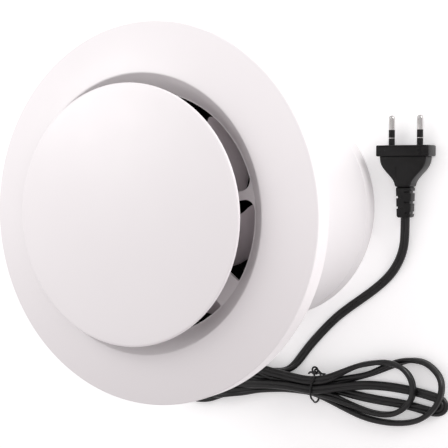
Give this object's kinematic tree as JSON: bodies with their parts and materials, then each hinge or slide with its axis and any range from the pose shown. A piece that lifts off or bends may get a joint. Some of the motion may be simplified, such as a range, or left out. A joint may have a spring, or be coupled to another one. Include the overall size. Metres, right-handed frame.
{
  "type": "bathroom extractor fan",
  "caption": "Round bathroom extractor fan: wide plate, raised disc over the inlet, swept impeller, round spigot with damper flaps, tied mains cord and flat plug.",
  "frame": {"origin": "centre of the spigot's open end, on the surface the fan stands on", "axes": "+Z along the fan's axis from the spigot towards the front disc; the cord, hank and plug lie on the surface at -X and -Y"},
  "size_m": [0.2516, 0.2342, 0.1812],
  "materials": {
    "white_plastic": "satin moulded white",
    "impeller_plastic": "satin grey white",
    "black_plastic": "satin moulded",
    "plug_plastic": "satin moulded",
    "cord_sheath": "semi-gloss sheath",
    "wire_insulation": "smooth",
    "foam": "closed-cell foam",
    "steel": "zinc plated",
    "motor_steel": "galvanised pressing",
    "lamination": "stacked laminations",
    "copper": "enamelled winding",
    "nickel_plate": "nickel plated"
  },
  "bodies": {
    "fan_body": {"face_plate": "white_plastic", "front_disc": "white_plastic", "disc_post_1": "white_plastic", "disc_post_2": "white_plastic", "disc_post_3": "white_plastic", "disc_screw_1": "steel", "disc_screw_2": "steel", "disc_screw_3": "steel", "housing": "white_plastic", "wall_gasket": "foam", "motor_carrier": "black_plastic", "motor_can": "motor_steel", "motor_end_cap": "motor_steel", "motor_screw_1": "steel", "motor_screw_2": "steel", "motor_screw_3": "steel", "rear_bearing": "steel", "front_bearing": "steel", "stator_core": "lamination", "rear_winding": "copper", "front_winding": "copper", "damper_frame": "black_plastic", "damper_pin": "steel", "terminal_block": "black_plastic", "motor_lead": "wire_insulation", "supply_cores": "wire_insulation", "cord_gland": "black_plastic", "cord_drop": "cord_sheath", "cord_lead": "cord_sheath", "cord_hank": "cord_sheath", "twist_tie": "black_plastic", "plug_strain_relief": "plug_plastic", "plug_body": "plug_plastic", "plug_pin_1": "nickel_plate", "plug_pin_2": "nickel_plate", "pin_sleeve_1": "plug_plastic", "pin_sleeve_2": "plug_plastic"},
    "rotor": {"impeller": "impeller_plastic", "hub_clip": "steel", "motor_shaft": "steel", "rotor_core": "lamination"},
    "flap_left": {"damper_flap_left": "black_plastic", "damper_spring_left": "steel"},
    "flap_right": {"damper_flap_right": "black_plastic", "damper_spring_right": "steel"}
  },
  "joints": [
    {"name": "impeller_spin", "type": "hinge", "parent": "fan_body", "child": "rotor", "pos_m": [0, 0, 0.13], "axis": [0, 0, 1], "continuous": true},
    {"name": "flap_left_hinge", "type": "hinge", "parent": "fan_body", "child": "flap_left", "pos_m": [0, 0, 0.0745], "axis": [1, 0, 0], "range_deg": [-70, 0], "stiffness_Nm_per_rad": 0.01, "springref_deg": 34.38},
    {"name": "flap_right_hinge", "type": "hinge", "parent": "fan_body", "child": "flap_right", "pos_m": [0, 0, 0.0745], "axis": [1, 0, 0], "range_deg": [0, 70], "stiffness_Nm_per_rad": 0.01, "springref_deg": -34.38}
  ]
}
